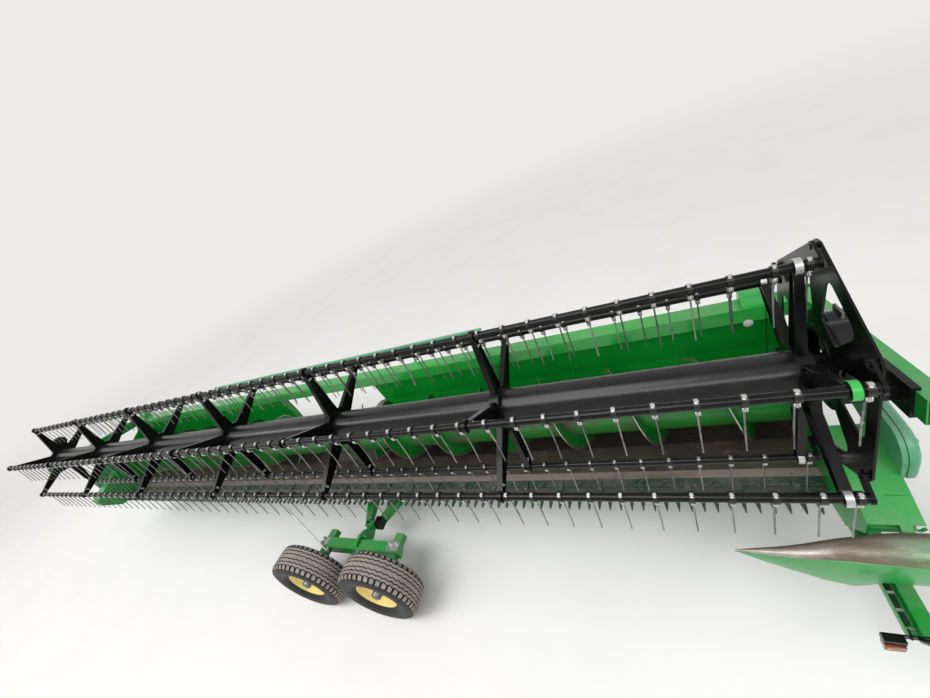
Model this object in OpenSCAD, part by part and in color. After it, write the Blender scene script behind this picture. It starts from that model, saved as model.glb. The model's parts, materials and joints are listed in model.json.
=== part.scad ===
// Grain header with a six-bat pick-up reel, parked on its tandem-axle transport trailer.
// X runs along the cut, -Y is the cutting side, +Z is up, and the ground is at Z = 0.
// The lengths are in millimetres. The YZ places below are taken from the reel's axis line.

/* [Header body] */
// Cutting width between the end sheets
cut_w = 9144; // [7600:1:10700]
// Height of the floor's front edge above the ground
floor_z = 690; // [620:1:740]
// Thickness of the trough, floor and back sheet
sheet_t = 5; // [3:1:8]
// Thickness of an end sheet
end_t = 12; // [8:1:20]
// Width of the feed opening in the back sheet
open_w = 1670; // [1200:1:1900]
// Height of the feed opening's lower lip
open_z = 790; // [760:1:850]
// Depth of the top beam, front to back
beam_d = 150; // [110:1:190]
// Height of the top beam
beam_h = 110; // [80:1:140]
// Height of the top beam's upper face
beam_top = 1558; // [1500:1:1620]

/* [Cutterbar] */
// Spacing of guards and knife sections
guard_pitch = 76.2; // [60:0.1:110]
// How far a guard reaches in front of the bar
guard_reach = 150; // [100:1:180]
// Place of the bar's front face
bar_y = 200; // [180:1:220]
// Thickness of a guard
guard_t = 22; // [14:1:30]
// Thickness of the knife
knife_t = 4; // [3:0.5:6]

/* [Auger] */
// Diameter over the flights
auger_d = 660; // [560:1:664]
// Diameter of the auger's tube
auger_tube_d = 410; // [300:1:450]
// Lead of one turn of flight
flight_lead = 600; // [400:1:800]
// Thickness of the flight
flight_t = 8; // [5:1:12]
// Place of the auger's axis behind the reel's axis
auger_y = 785; // [770:1:800]
// Height of the auger's axis
auger_z = 994; // [985:1:1010]
// Gap between the flights and the trough
auger_gap = 15; // [10:1:25]

/* [Reel] */
// Height of the reel's axis
reel_z = 1850; // [1800:1:1950]
// Radius of the circle of bats
bat_r = 535; // [480:1:560]
// Diameter of a bat's tube
bat_d = 42; // [34:1:50]
// Diameter of the reel's centre tube
reel_tube_d = 230; // [180:1:280]
// Spacing of the inner spiders
bay = 1436; // [1300:1:1480]
// Gap from an end sheet's inner face to the end spider
reel_inset = 229; // [215:1:260]
// Turn of the reel at rest
reel_turn = -4.4; // [-30:0.1:30]
// Reach of a tine below its bat's axis
tine_drop = 285; // [240:1:290]
// Diameter of a tine
tine_d = 8; // [6:1:10]
// Offset of the pitch-control star behind the reel's axis
star_dy = 75; // [60:1:90]
// Offset of the pitch-control star above the reel's axis
star_dz = 35; // [20:1:50]

/* [Reel arms] */
// Place of the arms' hinge behind the reel's axis
hinge_y = 1200; // [1180:1:1230]
// Height of the arms' hinge
hinge_z = 1500; // [1480:1:1520]
// Width of an arm's box section
arm_w = 80; // [60:1:90]
// Height of an arm's box section
arm_h = 120; // [100:1:140]
// Place of an arm's front end
arm_front = -190; // [-260:1:-170]
// Gap from the end sheet's outer face to the arm
arm_gap = 106; // [100:1:150]

/* [Trailer] */
// Radius of a tyre
tyre_r = 380; // [360:1:400]
// Width of a tyre
tyre_w = 264; // [220:1:290]
// Radius of a rim's flange
rim_r = 208; // [180:1:230]
// Distance between the middles of the near and far tyres
track_w = 2120; // [2000:1:2200]
// Distance between the two axles of a bogie
axle_gap = 910; // [840:1:1000]
// Place of the bogies' pivots along the header
bogie_x = 765; // [600:1:1000]
// Place of the trailer's centreline behind the reel's axis
trailer_y = 500; // [480:1:520]
// Width of the main beam
main_w = 150; // [120:1:180]
// Height of the main beam
main_h = 120; // [100:1:130]
// Height of the main beam's upper face
main_top = 500; // [480:1:510]
// Reach of the towing eye past the header's left end
draw_reach = 1500; // [1200:1:1900]
// Radius of the towing eye's bore
eye_r = 25; // [20:1:30]

/* [Stored divider] */
// Length of the stored crop divider
divider_l = 1400; // [1200:1:1600]
// Width of the stored crop divider
divider_w = 270; // [220:1:300]
// Height of the stored crop divider's ridge
divider_z = 930; // [880:1:960]

/* [Hidden] */
half = cut_w / 2;
end_out = half + end_t;
arm_x = end_out + arm_gap;
star_x = half - reel_inset;
trough_r = auger_d / 2 + auger_gap;
back_y = auger_y + trough_r;
rear_y = back_y + sheet_t;
beam_y = rear_y + 60 - beam_d;
beam_z = beam_top - beam_h;
floor_y = bar_y + 100;
reel_tube_r = reel_tube_d / 2;
bat_rad = bat_d / 2;
tine_pitch = bay / 9.5;
fit = 0.08;
under_z = 540;
under_h = 120;
divider_x = half - 543;
shaft_y = rear_y + 150;
shaft_z = under_z + 220;
shaft_r = 28;
eye_x = -end_out - 220 - draw_reach;
x_low = eye_x - 55;
x_high = divider_x + divider_l;
origin_x = (x_low + x_high) / 2;
origin_y = trailer_y;
wheel_y = track_w / 2;
main_rear = end_out + 56;
bat_angles = [for (i = [0:5]) 90 + reel_turn - 60 * i];
spider_xs = [-star_x, -2 * bay, -bay, 0, bay, 2 * bay, star_x];
wheels = [ // side, end
  [-1, -1], [-1, 1], [1, -1], [1, 1]
];

green = "#16a03a";
light_green = "#4fb86a";
black = "#17181a";
steel = "#b9bcc0";
worn = "#8a7b6c";

// Moves a piece from the reel's frame to the part's own origin
module place() {
  translate([-origin_x, -origin_y, 0]) children();
}

// Turns a flat YZ outline into a solid that runs along X
module along_x(x0, len) {
  translate([x0, 0, 0]) rotate([90, 0, 90]) linear_extrude(len) children();
}

// A round bar along X
module rod_x(x0, len, y, z, r) {
  translate([x0, y, z]) rotate([0, 90, 0]) cylinder(r = r, h = len, $fn = 64);
}

// A round bar between two points of one YZ plane
module rod_yz(x, a, b, r) {
  d = b - a;
  translate([x, a[0], a[1]]) rotate([-atan2(d[0], d[1]), 0, 0]) cylinder(r = r, h = norm(d), $fn = 48);
}

// A block between two corners
module block(a, b) {
  translate(a) cube(b - a);
}

// The block and its mirror image at the other end of the header
module both_ends() {
  children();
  mirror([1, 0, 0]) children();
}

// A plate outline with two round ends
module slot_2d(len, r) {
  translate([-len / 2, 0]) circle(r = r, $fn = 64);
  translate([len / 2, 0]) circle(r = r, $fn = 64);
  square([len, 2 * r], center = true);
}

// Outline of a belt cover or strap that wraps two circles
module wrap_2d(a, ra, b, rb) {
  d = b - a;
  turn = atan2(d[1], d[0]);
  lean = acos((ra - rb) / norm(d));
  translate(a) circle(r = ra, $fn = 96);
  translate(b) circle(r = rb, $fn = 96);
  polygon([for (s = [1, -1]) a + ra * [cos(turn + s * lean), sin(turn + s * lean)],
    for (s = [-1, 1]) b + rb * [cos(turn + s * lean), sin(turn + s * lean)]]);
}

// Header body

lean_z = floor_z + 460;
lean_y = beam_y + 45;

module back_profile() {
  polygon([[back_y, auger_z], [rear_y, auger_z], [rear_y, lean_z],
    [lean_y + sheet_t, beam_z], [lean_y, beam_z], [back_y, lean_z]]);
}

module back_sheet() {
  place() color(green) difference() {
    along_x(-half, cut_w) back_profile();
    block([-open_w / 2, beam_y, open_z], [open_w / 2, rear_y + 1, beam_z + 1]);
  }
}

trough_lip = asin((floor_z - auger_z) / trough_r);

module trough_profile() {
  far = 2 * trough_r;
  intersection() {
    translate([auger_y, auger_z]) difference() {
      circle(r = trough_r + sheet_t, $fn = 180);
      circle(r = trough_r, $fn = 180);
    }
    translate([auger_y, auger_z]) polygon([[0, 0],
      far * [-cos(trough_lip), sin(trough_lip)], [-far, -far], [far, -far], [far, 0]]);
  }
  polygon([[floor_y, floor_z - sheet_t], [floor_y, floor_z],
    [auger_y - trough_r * cos(trough_lip), floor_z],
    [auger_y - (trough_r + sheet_t) * cos(trough_lip), floor_z - sheet_t]]);
}

module trough() {
  place() color(worn) difference() {
    along_x(-half, cut_w) trough_profile();
    block([-open_w / 2, auger_y, open_z], [open_w / 2, rear_y + 1, auger_z + 1]);
  }
}

module top_beam() {
  wall = 6;
  place() color(green) difference() {
    block([-end_out - 81, beam_y, beam_z], [end_out + 81, beam_y + beam_d, beam_top]);
    block([-end_out - 82, beam_y + wall, beam_z + wall],
      [end_out + 82, beam_y + beam_d - wall, beam_top - wall]);
  }
}

rib_xs = [for (s = [-1, 1], x = [half - 60, half - 1200, half - 2350, 960]) s * x];

module under_frame() {
  place() color(green) {
    block([-half, floor_y - 70, under_z + 64], [half, floor_y + 30, floor_z - sheet_t]);
    block([-half, rear_y - 40, under_z], [half, rear_y + 80, under_z + under_h]);
    for (x = rib_xs) difference() {
      along_x(x - 4, 8) polygon([[floor_y + 30, under_z + 64], [rear_y - 40, under_z],
        [rear_y - 40, under_z + under_h], [rear_y, under_z + under_h], [rear_y, auger_z - 60],
        [auger_y, auger_z - 60], [auger_y - (trough_r + sheet_t) * cos(trough_lip), floor_z - sheet_t],
        [floor_y + 30, floor_z - sheet_t]]);
      rod_x(x - 5, 10, auger_y, auger_z, trough_r + sheet_t);
    }
  }
}

post_xs = [open_w / 2 + 50, half - 2350, half - 1200];

module rear_post(x) {
  wall = 8;
  foot = beam_z - wall;
  block([x - 40, rear_y, under_z + under_h], [x + 40, rear_y + 80, lean_z]);
  along_x(x - 40, 80) polygon([[rear_y, lean_z], [rear_y + 80, lean_z], [beam_y + beam_d, foot],
    [beam_y + beam_d, beam_z], [lean_y + sheet_t, beam_z]]);
}

// Plates on the right posts that carry the cross shaft
module shaft_plates() {
  for (x = post_xs) difference() {
    along_x(x - 8, 16) polygon([[rear_y + 79, shaft_z - 60], [rear_y + 79, shaft_z + 60],
      [shaft_y + 45, shaft_z + 45], [shaft_y + 45, shaft_z - 45]]);
    rod_x(x - 9, 18, shaft_y, shaft_z, shaft_r);
  }
}

module rear_frame() {
  place() color(green) {
    both_ends() {
      for (x = post_xs) rear_post(x);
      block([open_w / 2 + 90, rear_y, auger_z + 20], [half - 2390, rear_y + 40, auger_z + 100]);
      block([half - 2310, rear_y, auger_z + 20], [half - 1240, rear_y + 40, auger_z + 100]);
      block([half - 1160, rear_y, auger_z + 20], [half, rear_y + 40, auger_z + 100]);
      difference() {
        along_x(open_w / 2 - 20, 20) polygon([[rear_y + 80, under_z], [rear_y + 80, under_z + under_h],
          [rear_y + 200, under_z + 80], [rear_y + 200, under_z]]);
        rod_x(open_w / 2 - 21, 22, rear_y + 150, under_z + 40, 18);
      }
    }
    shaft_plates();
  }
}

module rear_rail() {
  rail_y = 1300;
  rail_z = 1720;
  place() color(light_green) {
    rod_x(-2300, 4600, rail_y, rail_z, 17);
    for (x = [-1450, 1450]) {
      block([x - 25, beam_y + beam_d, beam_z + 20], [x + 25, beam_y + beam_d + 8, beam_top]);
      along_x(x - 5, 10) polygon([[beam_y + beam_d + 8, beam_z + 20], [beam_y + beam_d + 8, beam_top],
        [rail_y - 12, rail_z], [rail_y + 12, rail_z]]);
    }
  }
}

module wear_strip() {
  place() color("#c9a797") block([-half, floor_y, floor_z], [half, floor_y + 64, floor_z + 6]);
}

// Cutterbar

guard_n = floor((cut_w - 40) / guard_pitch);
guard_x0 = -guard_pitch * (guard_n - 1) / 2;
guard_base = floor_z - knife_t - 2;
bar_back = floor_y - 70;

module cutterbar() {
  w = guard_pitch * 0.42;
  tip = guard_pitch * 0.08;
  mid = bar_y - guard_reach * 0.45;
  tip_y = bar_y - guard_reach;
  place() color("#123f22") {
    translate([0, 0, guard_base - guard_t]) linear_extrude(guard_t) polygon(concat(
      [[-half, floor_y - 70], [-half, bar_y]],
      [for (i = [0:guard_n - 1]) let (x = guard_x0 + i * guard_pitch) each
        [[x - w / 2, bar_y], [x - w / 2, mid], [x - tip / 2, tip_y], [x + tip / 2, tip_y],
          [x + w / 2, mid], [x + w / 2, bar_y]]],
      [[half, bar_y], [half, floor_y - 70]]));
    block([-half, bar_y + 28, guard_base - guard_t], [half, bar_back, floor_z]);
    block([-half, bar_back - 1, floor_z - sheet_t], [half, floor_y, floor_z]);
  }
}

module knife() {
  back_y = bar_y + 26;
  front_y = bar_y + 4;
  tip_y = bar_y - guard_reach * 0.5;
  flat = guard_pitch * 0.2;
  n = guard_n - 2;
  x0 = -guard_pitch * (n - 1) / 2;
  end_x = x0 - guard_pitch / 2;
  place() color(steel) translate([0, 0, guard_base + fit]) linear_extrude(knife_t) polygon(concat(
    [[end_x, back_y], [end_x, front_y]],
    [for (i = [0:n - 1]) let (x = x0 + i * guard_pitch) each
      [[x - guard_pitch / 2 + 1, front_y], [x - flat / 2, tip_y], [x + flat / 2, tip_y],
        [x + guard_pitch / 2 - 1, front_y]]],
    [[-end_x, front_y], [-end_x, back_y]]));
}

clip_n = floor(cut_w / (4 * guard_pitch));
knife_top = guard_base + fit + knife_t;

module hold_downs() {
  step = 4 * guard_pitch;
  place() color("#2b3a30") for (i = [0:clip_n - 1]) {
    x = (i - (clip_n - 1) / 2) * step;
    along_x(x - 22, 44) polygon([[bar_y + 28, floor_z], [floor_y - 20, floor_z],
      [floor_y - 20, floor_z + 14], [floor_y - 60, floor_z + 16], [bar_y - 8, floor_z + 8],
      [bar_y - 8, knife_top + 0.5], [bar_y + 28, knife_top + 0.5]]);
  }
}

// End sheets with the drives' covers and the reel arms' brackets

nose_y = -50;
nose_z = 1010;
brow_y = 300;
brow_z = 1155;
flange_w = 200;

module end_profile() {
  difference() {
    polygon([[rear_y + 80, under_z], [rear_y + 80, beam_top], [beam_y - 30, beam_top],
      [beam_y - 120, 1420], [brow_y, brow_z], [nose_y, nose_z], [nose_y - 130, nose_z - 60],
      [nose_y - 130, nose_z - 140], [nose_y + 40, floor_z - 40], [bar_y, under_z + 64]]);
    translate([beam_y, beam_z]) square([beam_d, beam_h + 1]);
  }
}

module end_sheets() {
  place() color(green) both_ends() {
    along_x(half, end_t) difference() {
      end_profile();
      translate([auger_y, auger_z]) circle(r = 45 + fit, $fn = 64);
    }
    along_x(end_out - 1, flange_w + 1) polygon([[nose_y, nose_z], [nose_y + 6, nose_z - 8],
      [brow_y + 3, brow_z - 8], [brow_y, brow_z]]);
    along_x(end_out - 1, flange_w + 1) polygon([[nose_y, nose_z], [nose_y + 6, nose_z - 8],
      [nose_y - 126, nose_z - 68], [nose_y - 130, nose_z - 60]]);
    rod_x(end_out - 1, arm_gap + arm_w / 2 + 30, lift_low[0], lift_low[1], 15);
    block([end_out - 1, nose_y - 128, 885], [end_out + 160, nose_y - 98, 915]);
  }
}

module drive_covers() {
  place() color(light_green) both_ends() {
    along_x(end_out, flange_w + 6) polygon([[nose_y + 8, nose_z + 5], [nose_y + 2, nose_z + 40],
      [20, 1150], [90, 1235], [190, 1300], [320, 1340], [460, 1345], [600, 1330], [660, 1290],
      [740, 1110], [brow_y + 20, brow_z + 10]]);
  }
  // chain case at the driven end, and a plain bearing cap at the other
  place() color(light_green) along_x(end_out, 90) difference() {
    wrap_2d([auger_y - 60, auger_z - 30], 140, [shaft_y, shaft_z], 105);
    translate(lift_low) circle(r = 18, $fn = 64);
  }
  place() color(light_green) rod_x(-end_out - 30, 30, auger_y, auger_z, 90);
}

module arm_brackets() {
  inner = end_out + 81;
  outer = arm_x + arm_w + 12;
  place() color(green) both_ends() {
    for (x = [inner, outer]) along_x(x, 12) difference() {
      union() {
        translate([hinge_y, hinge_z]) circle(r = 62, $fn = 64);
        polygon([[beam_y, beam_z], [beam_y, beam_top], [hinge_y, hinge_z + 62], [hinge_y + 62, hinge_z],
          [hinge_y + 62, beam_z], [beam_y + beam_d, beam_z - 30]]);
      }
      translate([hinge_y, hinge_z]) circle(r = 20, $fn = 64);
    }
    block([inner + 12, hinge_y + 54, beam_z], [outer, hinge_y + 62, hinge_z + 30]);
    rod_x(inner, outer + 12 - inner, hinge_y, hinge_z, 20);
  }
}

// Auger

auger_in = 60;

module auger_tube() {
  place() color("#7d7a74") {
    rod_x(-half + auger_in, cut_w - 2 * auger_in, auger_y, auger_z, auger_tube_d / 2);
    rod_x(-end_out + 1, 2 * end_out - 2, auger_y, auger_z, 45);
    for (i = [-4:4]) translate([i * 150, auger_y, auger_z]) rotate([i * 80, 0, 0])
      cylinder(r = 8, h = auger_d / 2 - 4, $fn = 24);
  }
}

// One hand of helical flight as a strip of quads wound on the tube
module flight(x0, x1, hand) {
  inner = auger_tube_d / 2 / cos(180 / 24) + 0.05;
  outer = auger_d / 2;
  turns = abs(x1 - x0) / flight_lead;
  steps = ceil(turns * 24);
  ring = [[inner, 0], [outer, 0], [outer, flight_t], [inner, flight_t]];
  points = [for (k = [0:steps]) let (a = hand * 360 * turns * k / steps, x = x0 + (x1 - x0) * k / steps)
    for (q = ring) [x + q[1], q[0] * cos(a), q[0] * sin(a)]];
  sides = [for (k = [0:steps - 1], j = [0:3]) let (a = 4 * k + j, b = 4 * k + (j + 1) % 4)
    hand > 0 ? [a, b, b + 4, a + 4] : [a + 4, b + 4, b, a]];
  last = 4 * steps;
  caps = hand > 0 ? [[3, 2, 1, 0], [last, last + 1, last + 2, last + 3]]
    : [[0, 1, 2, 3], [last + 3, last + 2, last + 1, last]];
  translate([0, auger_y, auger_z]) polyhedron(points, concat(sides, caps));
}

module auger_flights() {
  place() color("#5a6b5c") {
    flight(-half + auger_in + 10, -700, 1);
    flight(half - auger_in - 10 - flight_t, 700 - flight_t, -1);
  }
}

module cross_shaft() {
  stub = open_w / 2 - 60;
  place() color(black) {
    rod_x(stub, 60, shaft_y, shaft_z, 17.5);
    rod_x(stub + 60, end_out - stub - 60, shaft_y, shaft_z, shaft_r);
  }
}

// Reel

function arm_z(y) = hinge_z + (hinge_y - y) * 0.163;
arm_lean = atan(0.163);

module arm_frame() {
  translate([0, hinge_y, hinge_z]) rotate([-arm_lean, 0, 0]) children();
}

lug_y = -560;

module reel_arms() {
  wall = 6;
  reach = hinge_y - arm_front;
  place() color(green) both_ends() arm_frame() {
    difference() {
      block([arm_x, -reach, -arm_h / 2], [arm_x + arm_w, -50, arm_h / 2]);
      block([arm_x + wall, -reach - 1, -arm_h / 2 + wall], [arm_x + arm_w - wall, -80, arm_h / 2 - wall]);
    }
    difference() {
      union() {
        rod_x(arm_x, arm_w, 0, 0, 45);
        block([arm_x, -51, -40], [arm_x + arm_w, 0, 40]);
      }
      rod_x(arm_x - 1, arm_w + 2, 0, 0, 20 + fit);
    }
    for (x = [arm_x + 6, arm_x + arm_w - 18])
      along_x(x, 12) wrap_2d([lug_y, -arm_h / 2 - 35], 30, [lug_y, -arm_h / 2 + 1], 45);
  }
}

// The lift cylinder's two pins at rest
lift_low = [880, 930];
lift_high = [hinge_y + lug_y * cos(arm_lean) - (arm_h / 2 + 35) * sin(arm_lean),
  hinge_z - lug_y * sin(arm_lean) - (arm_h / 2 + 35) * cos(arm_lean)];
lift_dir = (lift_high - lift_low) / norm(lift_high - lift_low);
lift_x = arm_x + arm_w / 2;
barrel_l = 430;

module lift_barrels() {
  place() color(black) both_ends() difference() {
    union() {
      rod_x(lift_x - 20, 40, lift_low[0], lift_low[1], 32);
      rod_yz(lift_x, lift_low + 25 * lift_dir, lift_low + barrel_l * lift_dir, 30);
    }
    rod_x(lift_x - 21, 42, lift_low[0], lift_low[1], 15 + fit);
    rod_yz(lift_x, lift_low + 60 * lift_dir, lift_low + (barrel_l + 1) * lift_dir, 16 + fit);
  }
}

module lift_rods() {
  place() color(steel) both_ends() {
    rod_yz(lift_x, lift_low + 230 * lift_dir, lift_high - 20 * lift_dir, 16);
    rod_x(lift_x - 18, 36, lift_high[0], lift_high[1], 24);
  }
}

module reel_carriers() {
  sleeve = 12;
  gap = 0.4;
  plate_x = star_x + 125;
  inner_x = arm_x - gap - sleeve;
  outer_x = arm_x + arm_w + gap + sleeve;
  place() color(black) both_ends() {
    difference() {
      union() {
        along_x(plate_x, 16) difference() {
          wrap_2d([star_dy, reel_z + star_dz], 165, [60, arm_z(60) + 40], 110);
          translate([0, reel_z]) circle(r = 30 + fit, $fn = 64);
        }
        block([plate_x, -60, arm_z(0) + arm_h / 2 + 20], [inner_x + 1, 130, arm_z(0) + arm_h / 2 + 50]);
        rod_x(plate_x - 42, 43, star_dy, reel_z + star_dz, ring_r);
      }
      rod_x(plate_x - 43, 43, star_dy, reel_z + star_dz, ring_r - 22);
      rod_x(plate_x - 1, 18, 0, reel_z, 30 + fit);
    }
    arm_frame() difference() {
      block([inner_x, -hinge_y - 120, -arm_h / 2 - gap - sleeve],
        [outer_x, -hinge_y + 130, arm_h / 2 + gap + sleeve]);
      block([inner_x + sleeve, -hinge_y - 121, -arm_h / 2 - gap],
        [outer_x - sleeve, -hinge_y + 131, arm_h / 2 + gap]);
    }
  }
}

module reel_tube() {
  place() color(black) {
    rod_x(-star_x - 20, 2 * star_x + 40, 0, reel_z, reel_tube_r);
    rod_x(-star_x - 150, 2 * star_x + 300, 0, reel_z, 30);
  }
}

// Outline of a six-armed spider; grow shrinks or widens its arms
module spider_2d(root, tip, reach) {
  for (a = bat_angles) rotate(a) polygon([[60, -root], [60, root], [reach, tip], [reach, -tip]]);
}

module spider(x) {
  difference() {
    union() {
      along_x(x - 4, 8) spider_2d(62, 20, bat_r);
      along_x(x - 18, 36) difference() {
        spider_2d(62, 20, bat_r);
        spider_2d(56, 14, bat_r + 1);
      }
      rod_x(x - 30, 60, 0, 0, reel_tube_r + 35);
      for (a = bat_angles) rod_x(x - 14, 28, bat_r * cos(a), bat_r * sin(a), bat_rad + 12);
    }
    rod_x(x - 31, 62, 0, 0, reel_tube_r);
    for (a = bat_angles) rod_x(x - 19, 38, bat_r * cos(a), bat_r * sin(a), bat_rad + fit);
  }
}

module reel_spiders() {
  place() color(black) translate([0, 0, reel_z]) for (x = spider_xs) spider(x);
}

crank_x = star_x + 65;

// Outline of one of the star's six windows, on the +u side of its centre
module window_2d() {
  outer = [bat_r - 155, 86];
  inner = [bat_r - 283, 45];
  for (s = [-1, 1]) {
    translate([outer[0], s * outer[1]]) circle(r = 42, $fn = 48);
    translate([inner[0], s * inner[1]]) circle(r = 40, $fn = 48);
    polygon([[inner[0] - 12, 0], [inner[0] - 12, s * (inner[1] + 38)], [outer[0] - 13, s * (outer[1] + 40)],
      [outer[0] + 42, s * outer[1]], [outer[0] + 42, 0]]);
  }
  translate([inner[0] - 40, -inner[1]]) square([outer[0] - inner[0] + 82, 2 * inner[1]]);
}

ring_r = 150;

module pitch_star() {
  place() color(black) translate([0, star_dy, reel_z + star_dz]) {
    along_x(crank_x + 22, 8) difference() {
      intersection() {
        rotate(bat_angles[0]) circle(r = bat_r + 33, $fn = 6);
        circle(r = bat_r + 21, $fn = 128);
      }
      circle(r = ring_r + fit, $fn = 96);
      for (a = bat_angles) rotate(a + 30) window_2d();
    }
    for (a = bat_angles) rod_x(crank_x - 4, 27, bat_r * cos(a), bat_r * sin(a), 12);
  }
}

module bat(i) {
  a = bat_angles[i - 1];
  arm = norm([star_dy, star_dz]);
  turn = atan2(star_dz, star_dy);
  place() color("#1e2a25") translate([0, bat_r * cos(a), reel_z + bat_r * sin(a)]) difference() {
    union() {
      rod_x(-star_x - 40, 2 * star_x + 115, 0, 0, bat_rad);
      along_x(crank_x, 12) wrap_2d([0, 0], bat_rad + 4, arm * [cos(turn), sin(turn)], 24);
    }
    rod_x(crank_x - 1, 14, star_dy, star_dz, 12 + fit);
  }
}

// One tine: its clamp on the bat, its coil and its two straight stretches
module tine(x) {
  coil_z = -bat_rad - 18;
  kink = [14, coil_z - (tine_drop + coil_z) * 0.6];
  difference() {
    union() {
      rod_x(x - 12, 24, 0, 0, bat_rad + 6);
      rod_x(x - 11, 22, 6, coil_z, 15);
      rod_yz(x, [14, coil_z], kink, tine_d / 2);
      rod_yz(x, kink + [0.5, 6], [6, -tine_drop], tine_d / 2 - 0.4);
    }
    rod_x(x - 13, 26, 0, 0, bat_rad);
  }
}

tine_n = floor(star_x / tine_pitch);

// Every second bat has its tines half a pitch along, clear of the spiders; one more stands by the crank
module tines(i) {
  a = bat_angles[i - 1];
  shift = i % 2 == 1 ? 0.25 : -0.25;
  xs = [for (k = [-tine_n:tine_n]) let (x = (k + shift) * tine_pitch) if (abs(x) < star_x - 40) x];
  place() color(steel) translate([0, bat_r * cos(a), reel_z + bat_r * sin(a)])
    for (x = concat(xs, [star_x + 38])) tine(x);
}

// Trailer

module main_beam() {
  wall = 8;
  place() color(green) difference() {
    block([-end_out - 100, trailer_y - main_w / 2, main_top - main_h],
      [main_rear, trailer_y + main_w / 2, main_top]);
    block([-end_out - 101, trailer_y - main_w / 2 + wall, main_top - main_h + wall],
      [main_rear + 1, trailer_y + main_w / 2 - wall, main_top - wall]);
  }
}

stub_y = wheel_y - tyre_w / 2 - 110;

module cross_axle() {
  z1 = main_top - main_h;
  reach = stub_y - 130;
  place() color(green) translate([bogie_x, trailer_y, 0]) {
    block([-60, -reach, z1 - 100], [60, reach, z1]);
    for (s = [-1, 1]) {
      translate([0, 0, z1 - 12]) linear_extrude(12) polygon([[-60, s * reach], [60, s * reach],
        [320, s * main_w / 4], [-320, s * main_w / 4]]);
      translate([0, s * reach, tyre_r + 6]) rotate([-90 * s, 0, 0]) cylinder(r = 30, h = 175, $fn = 64);
    }
  }
}

module walking_beams() {
  half_l = axle_gap / 2 + 60;
  place() color(green) translate([bogie_x, trailer_y, 0]) for (s = [-1, 1]) scale([1, s, 1]) {
    difference() {
      block([-half_l, stub_y - 120, tyre_r - 50], [half_l, stub_y, tyre_r + 60]);
      translate([0, stub_y - 121, tyre_r + 6]) rotate([-90, 0, 0]) cylinder(r = 30, h = 200, $fn = 64);
    }
    for (e = [-1, 1]) translate([e * axle_gap / 2, stub_y - 1, tyre_r]) rotate([-90, 0, 0])
      cylinder(r = 25, h = wheel_y - stub_y + 20, $fn = 64);
  }
}

rest_xs = [-2600, 2600];

module header_rests() {
  place() color(green) for (x = rest_xs) {
    block([x - 40, floor_y - 90, main_top], [x + 40, rear_y + 80, under_z]);
    block([x - 40, floor_y - 70, under_z], [x + 40, floor_y + 30, under_z + 64]);
  }
}

module drawbar() {
  x1 = -end_out - 100;
  z = main_top - main_h / 2;
  place() color(green) difference() {
    union() {
      block([eye_x + 40, trailer_y - 50, z - 40], [x1, trailer_y + 50, z + 40]);
      block([x1 - 16, trailer_y - main_w / 2, z - main_h / 2], [x1, trailer_y + main_w / 2, z + main_h / 2]);
      translate([eye_x, trailer_y, z - 15]) cylinder(r = 55, h = 30, $fn = 96);
      block([eye_x, trailer_y - 30, z - 15], [eye_x + 60, trailer_y + 30, z + 15]);
    }
    translate([eye_x, trailer_y, z - 16]) cylinder(r = eye_r, h = 32, $fn = 96);
  }
}

module jack() {
  x = -end_out - 350;
  y = trailer_y + 50 + 35;
  place() color(black) {
    translate([x, y, 90]) cylinder(r = 30, h = 560, $fn = 64);
    translate([x, y, 12]) cylinder(r = 22, h = 80, $fn = 64);
    translate([x, y, 0]) cylinder(r = 90, h = 12, $fn = 96);
    block([x - 30, trailer_y + 50, main_top - main_h / 2 - 40], [x + 30, y, main_top - main_h / 2 + 40]);
    translate([x, y, 650]) rotate([0, 0, 90]) rotate([0, 90, 0]) cylinder(r = 8, h = 160, $fn = 32);
  }
}

module light_bar() {
  place() color(green) {
    block([main_rear, trailer_y - 980, main_top - 60], [main_rear + 120, trailer_y + 980, main_top]);
  }
}

module lamps() {
  place() color("#c8471f") for (s = [-1, 1])
    translate([main_rear - 90, trailer_y + s * 980, main_top - 60]) block([0, s > 0 ? 0 : -50, 0],
      [150, s > 0 ? 50 : 0, 50]);
}

module divider() {
  place() color(green) translate([divider_x, -310, divider_z]) {
    hull() {
      translate([0, 0, -10]) sphere(r = 8, $fn = 16);
      translate([450, 0, -80]) scale([0.2, 1, 0.55]) sphere(r = divider_w / 2, $fn = 32);
    }
    hull() {
      translate([450, 0, -80]) scale([0.2, 1, 0.55]) sphere(r = divider_w / 2, $fn = 32);
      translate([divider_l - 12, 0, -110]) scale([1, 1, 0.75]) rotate([0, 90, 0])
        cylinder(r = divider_w / 2, h = 12, $fn = 32);
    }
  }
}

// Wheels

module at_wheel(i) {
  w = wheels[i - 1];
  place() translate([bogie_x + w[1] * axle_gap / 2, trailer_y + w[0] * wheel_y, tyre_r])
    rotate([w[0] < 0 ? 90 : -90, 0, 0]) children();
}

module tyre(i) {
  w = tyre_w / 2;
  at_wheel(i) color("#2a2c2e") rotate_extrude($fn = 128) polygon([[rim_r - 12, -w * 0.72],
    [rim_r + 20, -w * 0.86], [rim_r + 80, -w], [tyre_r - 60, -w * 0.98], [tyre_r - 14, -w * 0.84],
    [tyre_r, -w * 0.6], [tyre_r, w * 0.6], [tyre_r - 14, w * 0.84], [tyre_r - 60, w * 0.98],
    [rim_r + 80, w], [rim_r + 20, w * 0.86], [rim_r - 12, w * 0.72]]);
}

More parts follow.
